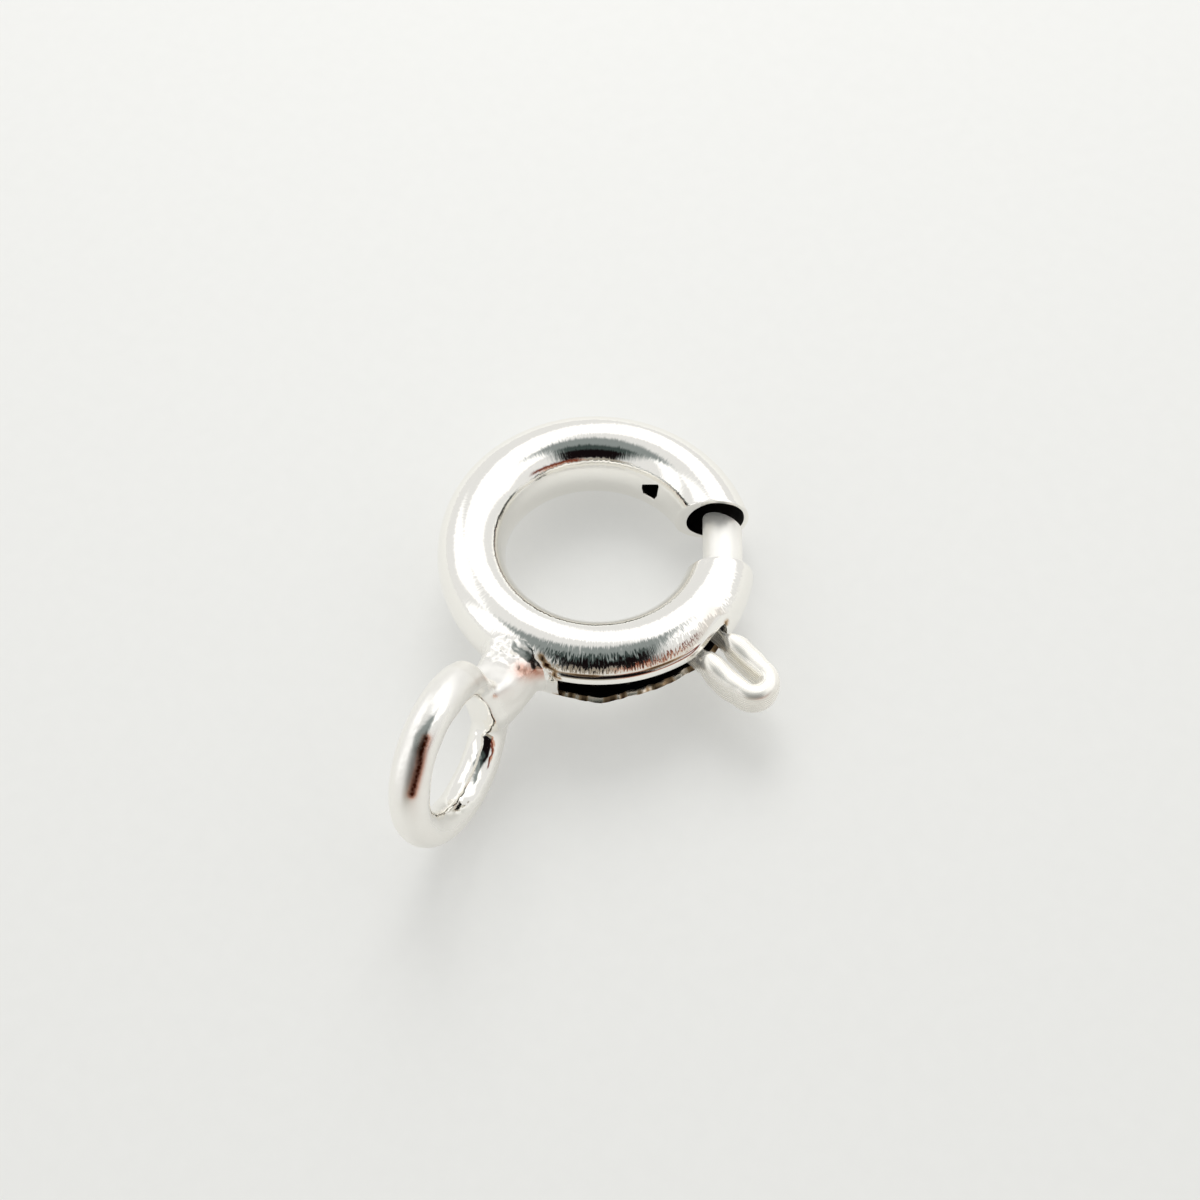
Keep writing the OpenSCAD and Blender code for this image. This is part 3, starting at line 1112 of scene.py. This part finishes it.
def bolt_rod():
    """The rod follows the tube up to the gap's direction and is straight from there to its slanted tip."""
    sides = 64
    bend_steps = 60
    straight_steps = 6
    bm = bmesh.new()
    verts, section = section_ring(bm, sides)
    for i, vert in enumerate(verts):
        angle = tau * i / sides
        vert.co = (bolt_mid_r + bolt_r * cos(angle), 0, bolt_r * sin(angle))
    bend = gap_angle - tail_angle
    bmesh.ops.rotate(bm, verts=verts, matrix=turned(-bend))
    section = spin_on(bm, section, bend, bend_steps)
    tip_y = gap_shift + gap_w / 2 - tip_short
    edges = edges_of(section)
    for _ in range(straight_steps):
        verts, edges = extruded(bm, edges)
        bmesh.ops.translate(bm, verts=verts, vec=(0, (tip_y + bolt_r) / straight_steps, 0))
    slant = turned(-tip_slant) @ Vector((0, 1, 0))
    bmesh.ops.bisect_plane(
        bm, geom=[*bm.verts, *bm.edges, *bm.faces], dist=cut_slack, plane_co=(bolt_mid_r, tip_y, 0),
        plane_no=slant, clear_outer=True)
    ends = close_ends(bm)
    bmesh.ops.recalc_face_normals(bm, faces=bm.faces)
    round_edges(bm, ends, tip_round, segments=4)

    def place(co):
        r = hypot(co.x, co.y)
        along = atan2(co.y, co.x) * mid_r if co.y < 0 else co.y
        return [along, bolt_r * atan2(co.z, (r if co.y < 0 else co.x) - bolt_mid_r)]

    lay_uv(bm, place, (0, tau * bolt_r))
    bmesh.ops.rotate(bm, verts=bm.verts, matrix=turned(gap_angle))
    piece = make_piece(bm, "bolt_rod", [satin])
    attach(piece, "gate")
    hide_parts("bolt")


def sweep(bm, sections, sides, squareness=2):
    """Sweeps a unit circle, or a rounder square, through a list of placing matrices, and closes its ends."""
    verts, section = section_ring(bm, sides)
    edges = edges_of(section)
    for vert in verts:
        longest = (abs(vert.co.x) ** squareness + abs(vert.co.y) ** squareness) ** (1 / squareness)
        vert.co = vert.co / longest
    bmesh.ops.transform(bm, matrix=sections[0], verts=verts)
    for last, here in zip(sections, sections[1:]):
        verts, edges = extruded(bm, edges)
        bmesh.ops.transform(bm, matrix=here @ last.inverted(), verts=verts)
    close_ends(bm)


def trigger():
    """A wire bent back on itself in a hairpin, with its legs pressed thinner where they enter the slot."""
    leg_steps = 32
    loop_steps = 36
    wire_sides = 48
    wire_squareness = 2.7
    # The legs' roots, as inner and outer half widths, then what changes along X: how much, from where on and
    # over what length
    root_deep = 0.1
    far_root = (0.26, trigger_root_w / 2)
    near_root = (0.16, 0.43)
    shoulder_half_w = 0.54
    shoulder_at = 2.9
    shoulder_run_in = 0.45
    waist_in = 0.05
    waist_at = 3.65
    waist_run_in = 0.32
    slit_at = 2.85
    slit_run_in = 0.45
    root_h_share = 0.9
    pressed_share = 0.1
    full_h_at = 3.0
    full_h_run_in = 0.4
    hump_h = 0.09
    hump_at = 2.98
    hump_run_in = 0.12
    hump_end = 3.15
    hump_run_out = 0.55
    loop_x = trigger_reach - trigger_w / 2
    loop_r = (trigger_w + slit_w) / 4
    # The unit circle lies in XY: X becomes the wire's width and Y its height
    stand = Matrix(((0, 0, 1, 0), (1, 0, 0, 0), (0, 1, 0, 0), (0, 0, 0, 1)))

    def leg(side, share):
        """The section of the far leg, side 1, or of the near one, side -1, from its root to the loop."""
        x = bolt_mid_r + root_deep + (loop_x - bolt_mid_r - root_deep) * share
        root_inner, root_outer = far_root if side > 0 else near_root
        outer = root_outer + (shoulder_half_w - root_outer) * smooth((x - shoulder_at) / shoulder_run_in)
        outer -= waist_in * smooth((x - waist_at) / waist_run_in)
        inner = slit_w / 2 + (root_inner - slit_w / 2) * (1 - smooth((x - slit_at) / slit_run_in))
        height = trigger_h * (root_h_share + pressed_share * smooth((x - full_h_at) / full_h_run_in))
        hump = hump_h * smooth((x - hump_at) / hump_run_in) * (1 - smooth((x - hump_end) / hump_run_out))
        size = Matrix.Diagonal(((outer - inner) / 2, height / 2, 1, 1))
        return Matrix.Translation((x, side * (outer + inner) / 2, hump)) @ stand @ size

    sections = [leg(1, i / leg_steps) for i in range(leg_steps + 1)]
    centre = Matrix.Translation((loop_x, 0, 0))
    for i in range(1, loop_steps):
        turn = Matrix.Rotation(-pi * i / loop_steps, 4, "Z")
        sections.append(centre @ turn @ centre.inverted() @ leg(1, 1))
    for i in range(leg_steps + 1):
        back = leg(-1, 1 - i / leg_steps)
        sections.append(back @ Matrix.Diagonal((-1, 1, 1, 1)))
    bm = bmesh.new()
    sweep(bm, sections, wire_sides, squareness=wire_squareness)
    bmesh.ops.recalc_face_normals(bm, faces=bm.faces)

    def place(co):
        if co.x < loop_x:
            return [co.x * copysign(1, co.y), abs(co.y) + co.z]
        return [atan2(co.x - loop_x, co.y) * loop_r, hypot(co.x - loop_x, co.y) + co.z]

    lay_uv(bm, place, (0, 0))
    bmesh.ops.translate(bm, verts=bm.verts, vec=(0, 0, -trigger_drop))
    bmesh.ops.rotate(bm, verts=bm.verts, matrix=turned(trigger_angle))
    piece = make_piece(bm, "trigger", [drawn])
    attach(piece, "gate")
    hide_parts("bolt")


def spring():
    """A steel coil in the tube, from the bolt's tail to the stop, in two halves that meet in the middle."""
    steps = 20
    sides = 10
    arc = spring_to - spring_from
    close_pitch = -degrees(end_turn_pitch * 2 * spring_wire_r / mid_r)
    middle_turns = spring_turns - 2
    middle_pitch = (arc - 2 * close_pitch) / middle_turns
    pitches = [close_pitch] + [middle_pitch] * middle_turns + [close_pitch]
    half = spring_turns // 2

    def along(turns):
        whole = min(int(turns), spring_turns - 1)
        return spring_from + sum(pitches[:whole]) + pitches[whole] * (turns - whole)

    def coil_section(turns):
        here = turned(along(turns)) @ Matrix.Translation((mid_r, 0, 0))
        here = here @ Matrix.Rotation(-tau * turns, 4, "Y")
        lean = atan2(radians(pitches[min(int(turns), spring_turns - 1)]) * mid_r, tau * spring_coil_r)
        here = here @ Matrix.Translation((spring_coil_r, 0, 0)) @ Matrix.Rotation(-lean, 4, "X")
        return here @ Matrix.Scale(spring_wire_r, 4)

    def on_arc(degrees_round):
        return lay_down @ (turned(degrees_round) @ Vector((mid_r, 0, 0)))

    tail, middle, stop = (on_arc(along(turns)) for turns in (0, half, spring_turns))
    # For each half: its first and last turn, and the line along which it passes from one body to the other
    halves = {
        "spring_front": (0, half, tail, tail + 2 * (middle - tail)),
        "spring_back": (half, spring_turns, middle - (stop - middle), stop),
    }
    for name, (first, last, start, end) in halves.items():
        bm = bmesh.new()
        count = (last - first) * steps
        sweep(bm, [coil_section(first + i / steps) for i in range(count + 1)], sides)
        bmesh.ops.recalc_face_normals(bm, faces=bm.faces)
        piece = make_piece(bm, name, [music_wire])
        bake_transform(piece)
        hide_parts("spring")


ring_tube()
end_ring()
bolt_rod()
trigger()
spring()


# Camera, at the photograph's viewing angle, in millimetres and degrees
camera_distance = 35.0
camera_azimuth = -51.455
camera_elevation = 62.415
camera_roll = -8.639
aim_right = 0.0635
aim_up = -0.8794
camera_lens = 55.6
sensor_w = 36.0
nearest_seen = 0.001

# Half the floor's width, in metres
floor_half_w = 0.4


def way_to(azimuth, elevation):
    level = cos(radians(elevation))
    return Vector((
        level * cos(radians(azimuth)), level * sin(radians(azimuth)), sin(radians(elevation))))


def add_camera():
    towards = way_to(camera_azimuth, camera_elevation)
    right = Vector((0, 0, 1)).cross(towards).normalized()
    turn = Matrix.Rotation(radians(camera_roll), 3, towards)
    right = turn @ right
    up = towards.cross(right)
    data = bpy.data.cameras.new("camera")
    data.lens = camera_lens
    data.sensor_width = sensor_w
    data.clip_start = nearest_seen
    camera = add_object("camera", data)
    place = ring_centre + millimetre * (camera_distance * towards + aim_right * right + aim_up * up)
    camera.matrix_world = Matrix.Translation(place) @ Matrix((right, up, towards)).transposed().to_4x4()
    bpy.context.scene.camera = camera


def add_floor():
    bm = bmesh.new()
    bmesh.ops.create_grid(bm, x_segments=1, y_segments=1, size=floor_half_w)
    bmesh.ops.translate(bm, verts=bm.verts, vec=(0, 0, cad_low.z))
    floor = mesh_object(bm, "floor")
    floor.data.materials.append(white_table())


# Lamp behind the clasp, in metres, degrees and watts
back_light_way = (119, 45)
back_light_far = 0.06
back_light_size = 0.04
back_light_watts = 0.021
tent_white = "#E8E8E7"

# What hangs in the light tent. For each: azimuth and elevation of its middle, half its width and height and
# the width of its soft edge, all in degrees, then its colour and brightness
tent_patches = [
    ("right soft box", (72, 48), (40, 23), 8, "#FFFFFF", 1.25),
    ("back soft box", (175, 42), (19, 15), 8, "#FFFFFF", 1.25),
    ("left soft box", (-135, 35), (10, 28), 6, "#FFFFFF", 1.25),
    ("grey card round the lens", (-51, 62), (32, 30), 12, "#8A9190", 1.0),
    ("dark card", (-50, 46), (25, 20), 10, "#3E4846", 1.0),
    ("foot of the dark card", (-50, 34), (26, 16), 6, "#120C0D", 1.0),
    ("beige card", (-60, 6), (30, 12), 6, "#9E978A", 1.0),
    ("warm card", (-26, 3), (22, 9), 6, "#CBA18C", 1.0),
    ("edge of the warm card", (-18, 14), (24, 4.5), 5, "#6E2E18", 1.0),
]


def add_patch(tree, way, behind, patch):
    """Hangs one patch in front of the colour behind it, and returns the new colour."""
    name, (azimuth, elevation), half_sizes, soft, shade, brightness = patch
    middle = way_to(azimuth, elevation)
    right = Vector((0, 0, 1)).cross(middle).normalized()
    ahead = add_node(tree, "ShaderNodeVectorMath", {0: way, 1: middle}, operation="DOT_PRODUCT")
    share = add_node(tree, "ShaderNodeMath", {0: ahead.outputs["Value"], 1: 0.0}, operation="GREATER_THAN")
    for side, half in zip((right, middle.cross(right)), half_sizes):
        off = add_node(tree, "ShaderNodeVectorMath", {0: way, 1: side}, operation="DOT_PRODUCT")
        size = add_node(tree, "ShaderNodeMath", {0: off.outputs["Value"]}, operation="ABSOLUTE")
        inside = add_node(tree, "ShaderNodeMapRange", {
            "Value": size, "From Min": sin(radians(half + soft / 2)),
            "From Max": sin(radians(half - soft / 2))}, interpolation_type="SMOOTHSTEP")
        share = add_node(tree, "ShaderNodeMath", {0: share, 1: inside}, operation="MULTIPLY")
    share.label = name
    colour = [brightness * part for part in linear(shade)[:3]] + [1.0]
    hung = add_node(tree, "ShaderNodeMix", {0: share, 6: behind, 7: colour}, data_type="RGBA")
    return hung.outputs[2]


def add_light_tent():
    """A white tent all round, with soft boxes and a few cards hung in it."""
    world = bpy.data.worlds.new("light_tent")
    world.use_nodes = True
    tree = world.node_tree
    tree.nodes.clear()
    bpy.context.scene.world = world
    place = add_node(tree, "ShaderNodeTexCoord")
    colour = linear(tent_white)
    for patch in tent_patches:
        colour = add_patch(tree, place.outputs["Generated"], colour, patch)
    light = add_node(tree, "ShaderNodeBackground", {"Color": colour, "Strength": 1.0})
    add_node(tree, "ShaderNodeOutputWorld", {"Surface": light})


def add_back_light():
    """A soft lamp behind the clasp, low enough for the table's brightness to fall off towards the camera."""
    data = bpy.data.lights.new("back_light", "AREA")
    data.shape = "DISK"
    data.size = back_light_size
    data.energy = back_light_watts
    lamp = add_object("back_light", data)
    lamp.visible_glossy = False
    towards = way_to(*back_light_way)
    facing = towards.to_track_quat("Z", "Y").to_matrix().to_4x4()
    lamp.matrix_world = Matrix.Translation(ring_centre + back_light_far * towards) @ facing


add_camera()
add_floor()
add_light_tent()
add_back_light()
bpy.context.scene.view_settings.view_transform = "Standard"
